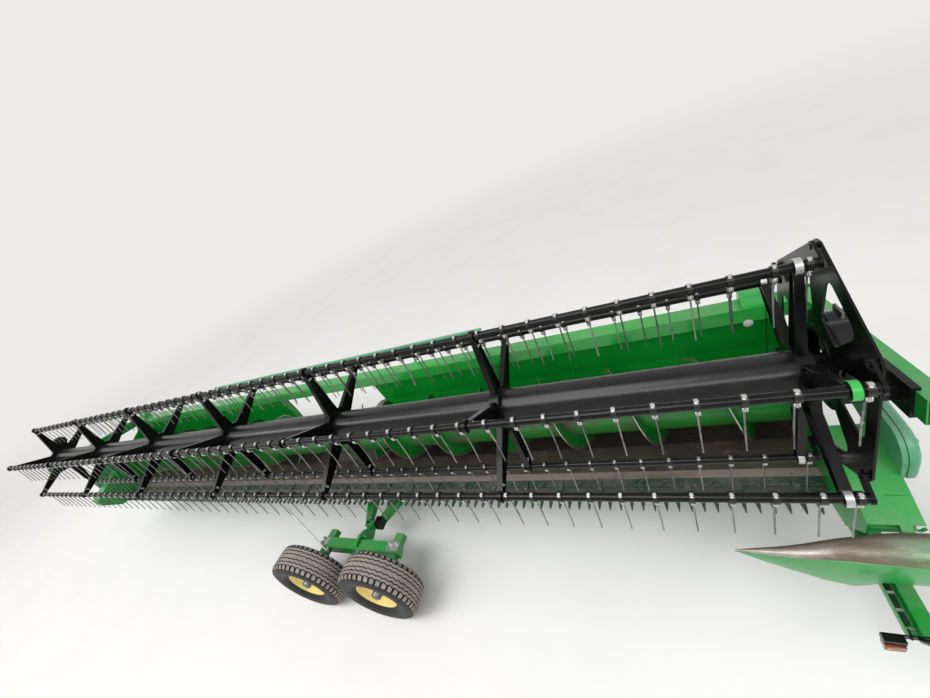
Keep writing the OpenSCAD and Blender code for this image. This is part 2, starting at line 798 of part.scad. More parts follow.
module rim(i) {
  w = tyre_w / 2;
  r0 = 25 + fit;
  at_wheel(i) color("#f0dc8c") rotate_extrude($fn = 128) polygon([[r0, -60], [55, -60], [55, 10],
    [rim_r - 60, 30], [rim_r - 30, -10], [rim_r - 24, -w * 0.72], [rim_r - 12, -w * 0.72],
    [rim_r - 12, w * 0.72], [rim_r - 20, w * 0.72], [rim_r - 24, 40], [rim_r - 52, 46], [50, 22],
    [50, 40], [r0, 40]]);
}

back_sheet();
top_beam();
under_frame();
rear_frame();
rear_rail();
trough();
wear_strip();
cutterbar();
hold_downs();
knife();
end_sheets();
drive_covers();
arm_brackets();
auger_tube();
auger_flights();
cross_shaft();
reel_arms();
lift_barrels();
lift_rods();
reel_carriers();
reel_tube();
reel_spiders();
pitch_star();
bat(1);  // bat_1
bat(2);  // bat_2
bat(3);  // bat_3
bat(4);  // bat_4
bat(5);  // bat_5
bat(6);  // bat_6
tines(1);  // tines_1
tines(2);  // tines_2
tines(3);  // tines_3
tines(4);  // tines_4
tines(5);  // tines_5
tines(6);  // tines_6
main_beam();
cross_axle();
walking_beams();
header_rests();
drawbar();
jack();
light_bar();
lamps();
divider();
tyre(1);  // tyre_1
tyre(2);  // tyre_2
tyre(3);  // tyre_3
tyre(4);  // tyre_4
rim(1);  // rim_1
rim(2);  // rim_2
rim(3);  // rim_3
rim(4);  // rim_4
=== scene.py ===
"""Looks for the grain header on its transport trailer: materials, small parts, studio and camera."""

import json
import math

import bmesh
import bpy
from mathutils import Matrix, Vector
from mathutils.geometry import tessellate_polygon


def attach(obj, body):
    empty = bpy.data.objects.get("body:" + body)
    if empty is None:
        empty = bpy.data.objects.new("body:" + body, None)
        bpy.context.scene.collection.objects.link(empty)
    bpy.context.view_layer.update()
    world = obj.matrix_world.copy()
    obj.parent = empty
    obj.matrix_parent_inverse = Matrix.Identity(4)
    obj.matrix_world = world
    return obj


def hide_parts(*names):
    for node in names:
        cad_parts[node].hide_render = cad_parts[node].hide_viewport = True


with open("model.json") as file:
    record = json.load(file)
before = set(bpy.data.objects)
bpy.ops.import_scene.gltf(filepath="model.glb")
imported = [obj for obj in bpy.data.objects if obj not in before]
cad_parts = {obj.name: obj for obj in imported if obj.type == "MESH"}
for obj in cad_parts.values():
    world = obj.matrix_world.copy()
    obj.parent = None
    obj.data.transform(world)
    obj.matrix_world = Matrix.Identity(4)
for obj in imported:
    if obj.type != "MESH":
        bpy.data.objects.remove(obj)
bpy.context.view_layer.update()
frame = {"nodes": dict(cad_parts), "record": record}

NODES = frame["nodes"]

# Places are given in millimetres from the middle of the cut, on the ground under the reel's axis.
# The frame's origin lies elsewhere on the ground, by this much.
ORIGIN = Vector((-465, 500, 0))

# The photograph's camera: place in metres, turn, dip and lean in degrees, and its lens on a 36 mm sensor
CAMERA_AT = Vector((4.268, -2.153, 3.357))
CAMERA_TURN = 30.885
CAMERA_DIP = 27.933
CAMERA_LEAN = 26.964
CAMERA_LENS = 14.449

# Sizes of the machine that small parts are set against
REEL_Z = 1850
BAT_CIRCLE = 535
BAT_R = 21
BAT_ANGLES = [85.6 - 60 * i for i in range(6)]
TINE_PITCH = 1436 / 9.5
TINE_REACH = 4303
END_TINE = 4381
COIL_AT = (6, -39)
COIL_R = 16
COIL_WIDTH = 18
COIL_TURNS = 2.75
SPIDERS = [0, -1436, 1436, -2872, 2872, -4343, 4343]
FLOOR_Z = 690
BAR_Y = 200
GUARD_PITCH = 76.2
CUT = 9144
BOGIE_X = 765
TRAILER_Y = 500
WHEEL_Y = 1060
AXLE_GAP = 910
TYRE_R = 380
BEAM_TOP = 440
ARM_Z = (310, 380)
LIGHT_BAR_REACH = 980
END_SHEET_X = 4584
REEL_ARM_SLOPE = 0.163

# Places across the machine, as Y and Z
REEL_AT = (0, REEL_Z)
STEER_AT = (75, 1885)
AUGER_AT = (785, 994)
HINGE_AT = (1200, 1500)

# Wheels by number: which side of the trailer and which axle
WHEELS = {1: (-1, -1), 2: (-1, 1), 3: (1, -1), 4: (1, 1)}

# The first green is lighter than the gloss green further down: painted light for the back sheet and top beam.
LIT_GREEN = (0.005, 0.315, 0.030)
DUST = (0.30, 0.275, 0.225)
RUST = (0.150, 0.052, 0.018)
BACKDROP = (0.84, 0.83, 0.815)
WORLD_LIGHT = 0.52

# Where the floor starts and ends its fade into the backdrop, in metres
FADE = (9.0, 26.0)


class Finish:
    """One procedural material, built up in layers over a base colour."""

    def __init__(self, name, colour, rough, metal=0.0, coat=0.0, specular=0.5):
        self.mat = bpy.data.materials.new(name)
        self.mat.use_nodes = True
        self.tree = self.mat.node_tree
        self.shader = self.tree.nodes["Principled BSDF"]
        self.shader.inputs["Base Color"].default_value = (*colour, 1.0)
        self.shader.inputs["Roughness"].default_value = rough
        self.shader.inputs["Metallic"].default_value = metal
        self.shader.inputs["Coat Weight"].default_value = coat
        self.shader.inputs["Coat Roughness"].default_value = 0.12
        self.shader.inputs["Specular IOR Level"].default_value = specular
        self.coordinate = self.tree.nodes.new("ShaderNodeTexCoord")

    def node(self, kind, **inputs):
        """Adds a node and sets or links its inputs by name."""
        made = self.tree.nodes.new(kind)
        for name, value in inputs.items():
            self.feed(value, made.inputs[name.replace("_", " ")])
        return made

    def feed(self, value, socket):
        """Links an output to a socket, or writes a plain value there."""
        if isinstance(value, bpy.types.NodeSocket):
            self.tree.links.new(value, socket)
        else:
            socket.default_value = value

    def noise(self, scale, detail=5.0, rough=0.6, stretch=(1.0, 1.0, 1.0)):
        """Noise over the surface; stretch squeezes it along an axis."""
        mapped = self.node("ShaderNodeMapping", Vector=self.coordinate.outputs["Object"], Scale=stretch)
        made = self.node("ShaderNodeTexNoise", Vector=mapped.outputs["Vector"], Scale=scale, Detail=detail)
        made.inputs["Roughness"].default_value = rough
        return made.outputs["Fac"]

    def waves(self, scale, twist=0.0):
        """Even bands across X."""
        made = self.node("ShaderNodeTexWave", Vector=self.coordinate.outputs["Object"], Scale=scale)
        made.bands_direction = "X"
        made.inputs["Distortion"].default_value = twist
        return made.outputs["Fac"]

    def along(self, axis):
        """The place along X, Y or Z in metres."""
        split = self.node("ShaderNodeSeparateXYZ", Vector=self.coordinate.outputs["Object"])
        return split.outputs[axis]

    def facing(self, axis):
        """How far the surface faces X, Y or Z."""
        split = self.node("ShaderNodeSeparateXYZ", Vector=self.coordinate.outputs["Normal"])
        return split.outputs[axis]

    def distance(self, y, z):
        """Distance in metres from a line along X through y and z, in millimetres."""
        centre = to_row(Vector((0, y, z)))
        flat = self.node("ShaderNodeVectorMath", Vector=self.coordinate.outputs["Object"])
        flat.operation = "MULTIPLY"
        flat.inputs[1].default_value = (0, 1, 1)
        made = self.node("ShaderNodeVectorMath", Vector=flat.outputs["Vector"])
        made.operation = "DISTANCE"
        made.inputs[1].default_value = (0, centre.y, centre.z)
        return made.outputs["Value"]

    def band(self, source, low, high):
        """0 below low, 1 above high, smooth between them; low may lie above high."""
        made = self.node("ShaderNodeMapRange", Value=source, From_Min=low, From_Max=high)
        made.interpolation_type = "SMOOTHSTEP"
        return made.outputs["Result"]

    def math(self, operation, a, b):
        """One arithmetic step between two outputs or values."""
        made = self.tree.nodes.new("ShaderNodeMath")
        made.operation = operation
        self.feed(a, made.inputs[0])
        self.feed(b, made.inputs[1])
        return made.outputs["Value"]

    def both(self, a, b):
        """Where both masks hold."""
        return self.math("MULTIPLY", a, b)

    def mix(self, socket_name, mask, value):
        """Changes one of the shader's inputs where the mask holds."""
        socket = self.shader.inputs[socket_name]
        is_colour = socket.type == "RGBA"
        made = self.tree.nodes.new("ShaderNodeMix")
        made.data_type = "RGBA" if is_colour else "FLOAT"
        kind = "Color" if is_colour else "Float"
        first, second = [s for s in made.inputs if s.identifier in ("A_" + kind, "B_" + kind)]
        out = [s for s in made.outputs if s.identifier == "Result_" + kind][0]
        factor = [s for s in made.inputs if s.identifier == "Factor_Float"][0]
        before = socket.links[0].from_socket if socket.is_linked else socket.default_value
        self.feed(before, first)
        self.feed((*value, 1.0) if is_colour else value, second)
        self.tree.links.new(mask, factor)
        self.tree.links.new(out, socket)

    def layer(self, mask, colour=None, rough=None, metal=None):
        """Covers the surface where the mask holds."""
        if colour is not None:
            self.mix("Base Color", mask, colour)
        if rough is not None:
            self.mix("Roughness", mask, rough)
        if metal is not None:
            self.mix("Metallic", mask, metal)

    def bump(self, height, distance):
        """Raises the surface by up to this many metres."""
        made = self.node("ShaderNodeBump", Height=height, Distance=distance)
        normal = self.shader.inputs["Normal"]
        if normal.is_linked:
            self.feed(normal.links[0].from_socket, made.inputs["Normal"])
        self.tree.links.new(made.outputs["Normal"], normal)

    def dusty(self, amount, colour=DUST):
        """Dust that has settled on what faces up."""
        up = self.band(self.facing("Z"), 0.72, 1.0)
        cloud = self.band(self.noise(3.5, 8.0, 0.65), 0.36, 0.78)
        mask = self.math("MULTIPLY", self.both(up, cloud), amount)
        self.layer(mask, colour, 0.75)

    def chipped(self, under=RUST, amount=0.735):
        """Small chips and rubbed spots through the paint."""
        chip = self.band(self.noise(42.0, 6.0, 0.72), amount, amount + 0.02)
        self.layer(chip, under, 0.85)


def to_row(place):
    """From millimetres on the machine to metres in the frame."""
    return (Vector(place) - ORIGIN) / 1000.0


def paint(name, colour, shade, rough=0.32, coat=0.25, dust=0.35):
    """Gloss paint with uneven colour, dust and a few chips."""
    made = Finish(name, colour, rough, coat=coat)
    made.layer(made.band(made.noise(1.3, 4.0), 0.40, 0.70), shade)
    made.layer(made.band(made.noise(9.0, 7.0, 0.7), 0.56, 0.80), None, rough + 0.20)
    scratch = made.band(made.noise(26.0, 5.0, 0.7, (0.12, 1.0, 1.0)), 0.70, 0.76)
    made.layer(made.math("MULTIPLY", scratch, 0.35), DUST, 0.6)
    made.dusty(dust)
    made.chipped()
    made.bump(made.noise(55.0, 3.0), 0.0004)
    return made.mat


def lit_sheet_green():
    """The back sheet and top beam: gloss green made lighter than the other green as painted light, gently
    uneven, as thin sheet is.
    """
    made = Finish("lit_sheet_green", LIT_GREEN, 0.24, coat=0.35)
    made.layer(made.band(made.noise(0.7, 3.0), 0.42, 0.68), (0.004, 0.24, 0.022))
    made.layer(made.band(made.noise(7.0, 6.0, 0.7), 0.58, 0.82), None, 0.42)
    made.dusty(0.25)
    made.bump(made.noise(1.6, 2.0, 0.4, (1.0, 0.4, 0.4)), 0.012)
    made.bump(made.noise(90.0, 2.0), 0.0002)
    return made.mat


def bar_green():
    """The cutterbar's green paint, worn and dirtied by the crop."""
    made = Finish("bar_green", (0.006, 0.040, 0.018), 0.5)
    grime = made.band(made.noise(5.0, 8.0, 0.7, (0.5, 1.0, 1.0)), 0.52, 0.72)
    made.layer(grime, (0.060, 0.056, 0.044), 0.8)
    made.layer(made.band(made.noise(24.0, 6.0, 0.75), 0.60, 0.68), (0.25, 0.23, 0.20), 0.6)
    made.dusty(0.35)
    made.chipped(RUST, 0.70)
    made.bump(made.noise(38.0, 6.0, 0.7), 0.0010)
    return made.mat


def trough_steel():
    """Sheet polished by the crop, brown with old rust and streaked along the cut."""
    made = Finish("trough_steel", (0.085, 0.070, 0.052), 0.42, metal=0.55)
    streak = made.band(made.noise(5.0, 8.0, 0.7, (0.22, 1.0, 1.0)), 0.45, 0.70)
    made.layer(streak, (0.165, 0.140, 0.112), 0.34, 0.75)
    made.layer(made.band(made.noise(11.0, 7.0, 0.72), 0.56, 0.70), RUST, 0.85, 0.1)
    made.layer(made.band(made.noise(2.0, 4.0), 0.50, 0.72), (0.042, 0.036, 0.026), 0.6)
    made.dusty(0.30, (0.16, 0.13, 0.10))
    made.bump(made.noise(30.0, 5.0, 0.7, (0.3, 1.0, 1.0)), 0.0008)
    return made.mat


def strip_steel():
    """The strip behind the cutterbar, scoured to a pinkish grey."""
    made = Finish("strip_steel", (0.30, 0.245, 0.215), 0.45, metal=0.45)
    made.layer(made.band(made.noise(7.0, 8.0, 0.7, (0.3, 1.0, 1.0)), 0.48, 0.66), (0.18, 0.14, 0.12), 0.6)
    made.layer(made.band(made.noise(30.0, 6.0, 0.7), 0.62, 0.68), RUST, 0.9, 0.0)
    made.bump(made.noise(60.0, 4.0, 0.7, (0.2, 1.0, 1.0)), 0.0006)
    return made.mat


def blade_steel():
    """Knife sections: steel browned in patches, with fine serrations."""
    made = Finish("blade_steel", (0.24, 0.23, 0.215), 0.38, metal=0.9)
    made.layer(made.band(made.noise(28.0, 6.0, 0.7), 0.54, 0.66), (0.14, 0.095, 0.065), 0.7, 0.4)
    made.bump(made.waves(130.0, 0.4), 0.0010)
    return made.mat


def crown_sheet():
    """The divider's crown: paint rubbed through to grey steel, with green left toward the back, and painted
    shade in darker brown on the side that faces +Y, away from the lamps.
    """
    made = Finish("crown_sheet", (0.46, 0.42, 0.385), 0.34, metal=0.55)
    brown = made.band(made.noise(3.0, 6.0, 0.6, (0.35, 1.6, 1.0)), 0.44, 0.60)
    made.layer(brown, (0.155, 0.120, 0.092), 0.5, 0.4)
    # Painted shade: faces turned toward +Y, away from the lamps, are made darker brown.
    side = made.band(made.facing("Y"), -0.25, 0.55)
    made.layer(side, (0.14, 0.108, 0.082), 0.5, 0.4)
    patch = made.band(made.noise(4.5, 5.0, 0.55, (0.30, 1.9, 1.0)), 0.50, 0.58)
    toward_back = made.band(made.along("X"), 4.95, 5.45)
    made.layer(made.both(patch, toward_back), (0.010, 0.285, 0.055), 0.35, 0.0)
    made.layer(made.band(made.noise(34.0, 6.0, 0.7, (0.2, 1.0, 1.0)), 0.66, 0.72), (0.62, 0.58, 0.54), 0.3)
    made.bump(made.noise(16.0, 5.0, 0.7, (0.2, 1.0, 1.0)), 0.0008)
    return made.mat


def flight_green():
    """Auger flights: green on the faces, bare bright steel at the outer edge, rust between."""
    made = Finish("flight_green", (0.004, 0.185, 0.018), 0.38, coat=0.15)
    reach = made.distance(*AUGER_AT)
    ragged = made.math("ADD", reach, made.math("MULTIPLY", made.noise(18.0, 5.0), 0.020))
    made.layer(made.band(ragged, 0.314, 0.326), (0.11, 0.065, 0.038), 0.7, 0.2)
    made.layer(made.band(ragged, 0.329, 0.337), (0.50, 0.48, 0.45), 0.30, 0.95)
    made.layer(made.band(made.noise(8.0, 7.0, 0.7), 0.58, 0.74), (0.060, 0.085, 0.045), 0.7)
    made.chipped(RUST, 0.70)
    made.bump(made.noise(45.0, 4.0), 0.0005)
    return made.mat


def auger_green():
    """The auger's tube: green, worn to brown in patches."""
    made = Finish("auger_green", (0.004, 0.205, 0.020), 0.36, coat=0.15)
    made.layer(made.band(made.noise(3.2, 8.0, 0.7, (0.6, 1.0, 1.0)), 0.50, 0.66), (0.095, 0.085, 0.050), 0.65)
    made.layer(made.band(made.noise(20.0, 6.0, 0.7), 0.60, 0.68), RUST, 0.85)
    made.dusty(0.35)
    made.bump(made.noise(45.0, 4.0), 0.0005)
    return made.mat


def gloss_black():
    """Black gloss enamel with faint dust and wiped marks."""
    made = Finish("gloss_black", (0.0022, 0.0024, 0.0023), 0.22, coat=0.1, specular=0.16)
    made.layer(made.band(made.noise(14.0, 6.0, 0.7), 0.55, 0.80), (0.0050, 0.0050, 0.0047), 0.37)
    made.dusty(0.035, (0.12, 0.115, 0.10))
    made.chipped((0.16, 0.14, 0.12), 0.745)
    made.bump(made.noise(70.0, 3.0), 0.0003)
    return made.mat


def satin_black(name="satin_black"):
    """Satin black, with dust and rubbed rings."""
    made = Finish(name, (0.0030, 0.0033, 0.0040), 0.27, coat=0.1, specular=0.30)
    made.layer(made.band(made.noise(2.4, 6.0, 0.6), 0.46, 0.76), (0.006, 0.0065, 0.007), 0.34)
    made.layer(made.band(made.noise(24.0, 6.0, 0.7, (2.2, 0.3, 0.3)), 0.66, 0.74), (0.016, 0.016, 0.015), 0.4)
    made.dusty(0.04, (0.14, 0.14, 0.13))
    made.bump(made.noise(60.0, 4.0), 0.0003)
    return made.mat


def zinc(name="zinc", colour=(0.56, 0.56, 0.55), rough=0.28):
    """Plated steel, dulled in patches."""
    made = Finish(name, colour, rough, metal=1.0)
    dull = tuple(c * 0.62 for c in colour)
    made.layer(made.band(made.noise(60.0, 5.0, 0.7), 0.50, 0.70), dull, rough + 0.22)
    made.bump(made.noise(160.0, 3.0), 0.0002)
    return made.mat


def spring_steel(name="spring_steel", bat=None):
    """Spring wire, grey with brown patches and fine turns; black where it clamps a bat."""
    made = Finish(name, (0.25, 0.25, 0.245), 0.30, metal=0.9)
    made.layer(made.band(made.noise(16.0, 6.0, 0.7), 0.46, 0.64), (0.13, 0.125, 0.12), 0.45)
    made.layer(made.band(made.noise(38.0, 5.0, 0.7), 0.60, 0.70), (0.12, 0.070, 0.040), 0.7, 0.4)
    made.bump(made.waves(45.0), 0.0020)
    if bat is not None:
        made.layer(made.band(made.distance(*bat), 0.0292, 0.0284), (0.0025, 0.0027, 0.0026), 0.24, 0.0)
    return made.mat


def lens(name, colour):
    """Moulded lamp glass with fine ribs."""
    made = Finish(name, colour, 0.18, coat=0.6)
    made.shader.inputs["Transmission Weight"].default_value = 0.15
    made.layer(made.band(made.noise(18.0, 6.0), 0.52, 0.74), tuple(c * 0.6 for c in colour), 0.35)
    made.bump(made.waves(60.0), 0.0012)
    return made.mat


def rubber():
    """Sidewall rubber, black with grey bloom."""
    made = Finish("rubber", (0.0085, 0.0090, 0.0098), 0.55, specular=0.35)
    made.layer(made.band(made.noise(6.0, 7.0, 0.65), 0.46, 0.76), (0.019, 0.019, 0.0195), 0.7)
    made.dusty(0.12, (0.16, 0.15, 0.13))
    made.bump(made.noise(80.0, 5.0), 0.0006)
    return made.mat


def tread():
    """Tread faces, dusty beige over the black rubber."""
    made = Finish("tread", (0.300, 0.262, 0.230), 0.85, specular=0.25)
    made.layer(made.band(made.noise(9.0, 7.0, 0.68), 0.44, 0.68), (0.215, 0.188, 0.166), 0.85)
    made.layer(made.band(made.noise(34.0, 6.0, 0.72), 0.58, 0.72), (0.085, 0.078, 0.072), 0.8)
    made.bump(made.noise(120.0, 5.0), 0.0008)
    return made.mat


def cream():
    """Wheel paint, pale yellow with brown grime."""
    made = Finish("cream", (0.80, 0.665, 0.255), 0.36, coat=0.2)
    made.layer(made.band(made.noise(7.0, 7.0, 0.68), 0.50, 0.72), (0.62, 0.47, 0.16), 0.5)
    made.layer(made.band(made.noise(26.0, 6.0, 0.72), 0.60, 0.70), (0.26, 0.16, 0.060), 0.7)
    made.dusty(0.30)
    made.bump(made.noise(60.0, 4.0), 0.0005)
    return made.mat


def wrap(a, ra, b, rb):
    """Outline round two discs and their outer tangents."""
    sides = 24
    along = math.atan2(b[1] - a[1], b[0] - a[0])
    lean = math.acos((ra - rb) / math.dist(a, b))
    far = 2 * math.pi - 2 * lean
    outline = []
    for k in range(sides + 1):
        t = along + lean + far * k / sides
        outline.append((a[0] + ra * math.cos(t), a[1] + ra * math.sin(t)))
    for k in range(sides + 1):
        t = along - lean + 2 * lean * k / sides
        outline.append((b[0] + rb * math.cos(t), b[1] + rb * math.sin(t)))
    return outline


def disc(at, radius, sides=48):
    """Outline of a disc."""
    steps = [2 * math.pi * k / sides for k in range(sides)]
    return [(at[0] + radius * math.cos(t), at[1] + radius * math.sin(t)) for t in steps]


def inside(point, outline):
    """Whether a point lies within an outline."""
    x, y = point
    odd = False
    for (x0, y0), (x1, y1) in zip(outline, outline[1:] + outline[:1]):
        if (y0 > y) != (y1 > y) and x < x0 + (y - y0) * (x1 - x0) / (y1 - y0):
            odd = not odd
    return odd


def spread(axis, point, depth):
    """A point of an outline across X, Y or Z at a depth along it."""
    u, v = point
    return Vector({"X": (depth, u, v), "Y": (u, depth, v), "Z": (u, v, depth)}[axis])


class Bag:
    """Gathers small solids, in millimetres on the machine, into one piece."""

    def __init__(self):
        self.points = []
        self.faces = []
        self.kinds = []

    def skin(self, rings, kind=0):
        """Joins rings of equal length, each a closed loop of points, and caps the first and last."""
        start = len(self.points)
        count = len(rings[0])
        for ring in rings:
            self.points.extend(ring)
        for r in range(len(rings) - 1):
            a = start + r * count
            b = a + count
            for k in range(count):
                n = (k + 1) % count
                self.faces.append((a + k, a + n, b + n, b + k))
                self.kinds.append(kind)
        last = start + (len(rings) - 1) * count
        self.faces.append(tuple(start + k for k in reversed(range(count))))
        self.faces.append(tuple(last + k for k in range(count)))
        self.kinds.extend([kind, kind])

    def lathe(self, at, axis, profile, sides=24, kind=0):
        """Turns pairs of (place along the axis, radius) about an axis through at."""
        at = Vector(at)
        axis = Vector(axis).normalized()
        side = axis.orthogonal().normalized()
        other = axis.cross(side)
        steps = [2 * math.pi * k / sides for k in range(sides)]
        rings = [[at + axis * h + (side * math.cos(t) + other * math.sin(t)) * r for t in steps]
                 for h, r in profile]
        self.skin(rings, kind)

    def rod(self, a, b, radius, sides=12, kind=0, edge=0.0):
        """A round bar with eased ends."""
        a, b = Vector(a), Vector(b)
        length = (b - a).length
        if edge:
            profile = [(0, radius - edge), (edge, radius), (length - edge, radius), (length, radius - edge)]
        else:
            profile = [(0, radius), (length, radius)]
        self.lathe(a, b - a, profile, sides, kind)

    def bolt(self, at, axis, size, height, kind=0):
        """A hexagon head on a washer; size is across its corners."""
        at = Vector(at)
        axis = Vector(axis).normalized()
        self.lathe(at, axis, [(0, size * 0.66), (height * 0.22, size * 0.66)], 14, kind)
        low = height * 0.2
        self.lathe(at, axis, [(low, size * 0.5), (height * 0.85, size * 0.5), (height, size * 0.42)], 6, kind)

    def box(self, low, high, kind=0):
        """A block between two corners."""
        (x0, y0, z0), (x1, y1, z1) = low, high
        ring = [(x0, y0), (x1, y0), (x1, y1), (x0, y1)]
        self.skin([[Vector((x, y, z0)) for x, y in ring], [Vector((x, y, z1)) for x, y in ring]], kind)

    def extrude(self, outline, axis, low, high, kind=0):
        """A straight solid along an axis, on an outline given by its other two coordinates."""
        self.skin([[spread(axis, p, low) for p in outline], [spread(axis, p, high) for p in outline]], kind)

    def plate(self, outline, holes, axis, low, high, kind=0):
        """Like extrude, with holes through it."""
        loops = [outline] + holes
        start = len(self.points)
        for depth in (low, high):
            for loop in loops:
                self.points.extend(spread(axis, p, depth) for p in loop)
        layer = sum(len(loop) for loop in loops)
        for a, b, c in tessellate_polygon([[Vector((*p, 0)) for p in loop] for loop in loops]):
            self.faces.append((start + a, start + b, start + c))
            self.faces.append((start + layer + a, start + layer + c, start + layer + b))
            self.kinds.extend([kind, kind])
        first = start
        for loop in loops:
            for k in range(len(loop)):
                a, b = first + k, first + (k + 1) % len(loop)
                self.faces.append((a, b, b + layer, a + layer))
                self.kinds.append(kind)
            first += len(loop)

    def wire(self, path, radius, sides=8, kind=0):
        """A round wire along points."""
        path = [Vector(p) for p in path]
        rings = []
        side = None
        for i, place in enumerate(path):
            ahead = (path[min(i + 1, len(path) - 1)] - path[max(i - 1, 0)]).normalized()
            side = ahead.orthogonal() if side is None else side - ahead * side.dot(ahead)
            side.normalize()
            other = ahead.cross(side)
            steps = [2 * math.pi * k / sides for k in range(sides)]
            rings.append([place + (side * math.cos(t) + other * math.sin(t)) * radius for t in steps])
        self.skin(rings, kind)

    def make(self, name, body, slot, *materials, smooth=35):
        """Makes the piece, in the frame's metres, and lets it ride on its body."""
        mesh = bpy.data.meshes.new(name)
        mesh.from_pydata([to_row(p) for p in self.points], [], self.faces)
        for material in materials:
            mesh.materials.append(material)
        mesh.polygons.foreach_set("material_index", self.kinds)
        mesh.polygons.foreach_set("use_smooth", [True] * len(self.faces))
        solid = bmesh.new()
        solid.from_mesh(mesh)
        bmesh.ops.recalc_face_normals(solid, faces=solid.faces)
        solid.to_mesh(mesh)
        solid.free()
        mesh.update()
        mesh.set_sharp_from_angle(angle=math.radians(smooth))
        made = bpy.data.objects.new(name, mesh)
        bpy.context.scene.collection.objects.link(made)
        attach(made, body)
        return made


def bat_centre(i):
    """Y and Z of bat i's axis at rest, i from 0."""
    a = math.radians(BAT_ANGLES[i])
    return BAT_CIRCLE * math.cos(a), REEL_Z + BAT_CIRCLE * math.sin(a)


def tine_places(i):
    """X of every tine on bat i; neighbouring bats' tines are staggered."""
    shift = 0.25 if i % 2 == 0 else -0.25
    count = int(TINE_REACH // TINE_PITCH) + 1
    places = [(k + shift) * TINE_PITCH for k in range(-count, count + 1)]
    return [x for x in places if abs(x) < TINE_REACH]


def make_tine_mounts(steel, dark):
    """Coils, saddles and bolts that hold each tine on its bat."""
    steps = 26
    coil = []
    for s in range(steps + 1):
        t = 2 * math.pi * COIL_TURNS * s / steps
        coil.append((COIL_WIDTH * s / steps - COIL_WIDTH / 2, COIL_R * math.cos(t), COIL_R * math.sin(t)))
    saddle = [(0, BAT_R), (0, BAT_R + 3), (22, BAT_R + 3), (22, BAT_R)]
    for i in range(6):
        y, z = bat_centre(i)
        coil_y, coil_z = y + COIL_AT[0], z + COIL_AT[1]
        bag = Bag()
        for x in tine_places(i) + [END_TINE]:
            bag.wire([(x + a, coil_y + b, coil_z + c) for a, b, c in coil], 3.6, 6, 0)
            bag.lathe((x - 11, y, z), (1, 0, 0), saddle, 16, 1)
            bag.bolt((x, y - 6, z + BAT_R + 2), (0, -0.25, 1), 19, 9, 0)
        bag.make(f"tine_mounts_{i + 1}", f"tined_bat_{i + 1}", "spring_steel", steel, dark)


def make_reel_clamps(steel, dark, lime):
    """Clamps round the bats at the spiders, and bolts in the spiders' arms and hubs."""
    bag = Bag()
    for x in SPIDERS:
        end = abs(x) == SPIDERS[-1]
        for i in range(6):
            y, z = bat_centre(i)
            kind = 0 if end else 1
            if x == SPIDERS[-1] and i == 5:
                kind = 2
            width = 26 if end else 24
            profile = [(0, 33.2), (0, 35.5), (width, 35.5), (width, 33.2)]
            bag.lathe((x - width / 2, y, z), (1, 0, 0), profile, 24, kind)
            a = math.radians(BAT_ANGLES[i])
            out = Vector((0, math.cos(a), math.sin(a)))
            tangent = Vector((0, -out.z, out.y))
            for side in (-1, 1):
                place = Vector((x, y, z)) - out * 66 + tangent * side * 9
                bag.bolt(place + Vector((9, 0, 0)), (1, 0, 0), 15, 8, 0)
        for k in range(6):
            a = math.radians(BAT_ANGLES[k] + 30)
            place = Vector((x + 9, 134 * math.cos(a), REEL_Z + 134 * math.sin(a)))
            bag.bolt(place, (1, 0, 0), 17, 9, 0)
    bag.make("reel_clamps", "reel", "rod_steel", steel, dark, lime)


def make_bar_bolts(steel):
    """Bolts through the hold-downs and the guards."""
    bag = Bag()
    step = 2 * GUARD_PITCH
    count = int((CUT - 60) // step)
    for i in range(count):
        x = (i - (count - 1) / 2) * step
        bag.bolt((x - 9, BAR_Y + 48, FLOOR_Z + 12), (0, 0, 1), 15, 6, 0)
        bag.bolt((x + 9, BAR_Y + 70, FLOOR_Z + 13), (0, 0, 1), 15, 6, 0)
    first = -CUT / 2 + GUARD_PITCH / 2
    for i in range(int(CUT / GUARD_PITCH)):
        bag.bolt((first + i * GUARD_PITCH, BAR_Y + 42, FLOOR_Z), (0, 0, 1), 15, 6, 0)
    bag.make("bar_bolts", "platform", "dark_green", steel)


def make_beam_clamps(steel, dark):
    """Clamps that hold the axles under the walking beams, and the pivots' nuts and pins."""
    bag = Bag()
    for side in (-1, 1):
        for x, z, off in ((BOGIE_X + 458, BEAM_TOP, 736), (BOGIE_X - 470, 415, 725)):
            y = TRAILER_Y + side * off
            bag.box((x - 62, y - 40, z), (x + 62, y + 40, z + 9), 0)
            for dx in (-42, 42):
                for dy in (-24, 24):
                    place = Vector((x + dx, y + dy, z + 9))
                    bag.bolt(place, (0, 0, 1), 32, 18, 0)
                    bag.rod(place + Vector((0, 0, 12)), place + Vector((0, 0, 34)), 8, 12, 0, 1.5)
        pivot = Vector((BOGIE_X, TRAILER_Y + side * 795, TYRE_R))
        bag.bolt(pivot + Vector((0, side * 18, 0)), (0, side, 0), 52, 26, 0)
        bag.rod(pivot + Vector((-34, side * 52, 6)), pivot + Vector((34, side * 52, -4)), 4, 8, 0)
        bag.rod(pivot + Vector((0, side * 36, 0)), pivot + Vector((0, side * 62, 0)), 15, 16, 1, 2)
    bag.make("beam_clamps", "platform", "rod_steel", steel, dark)


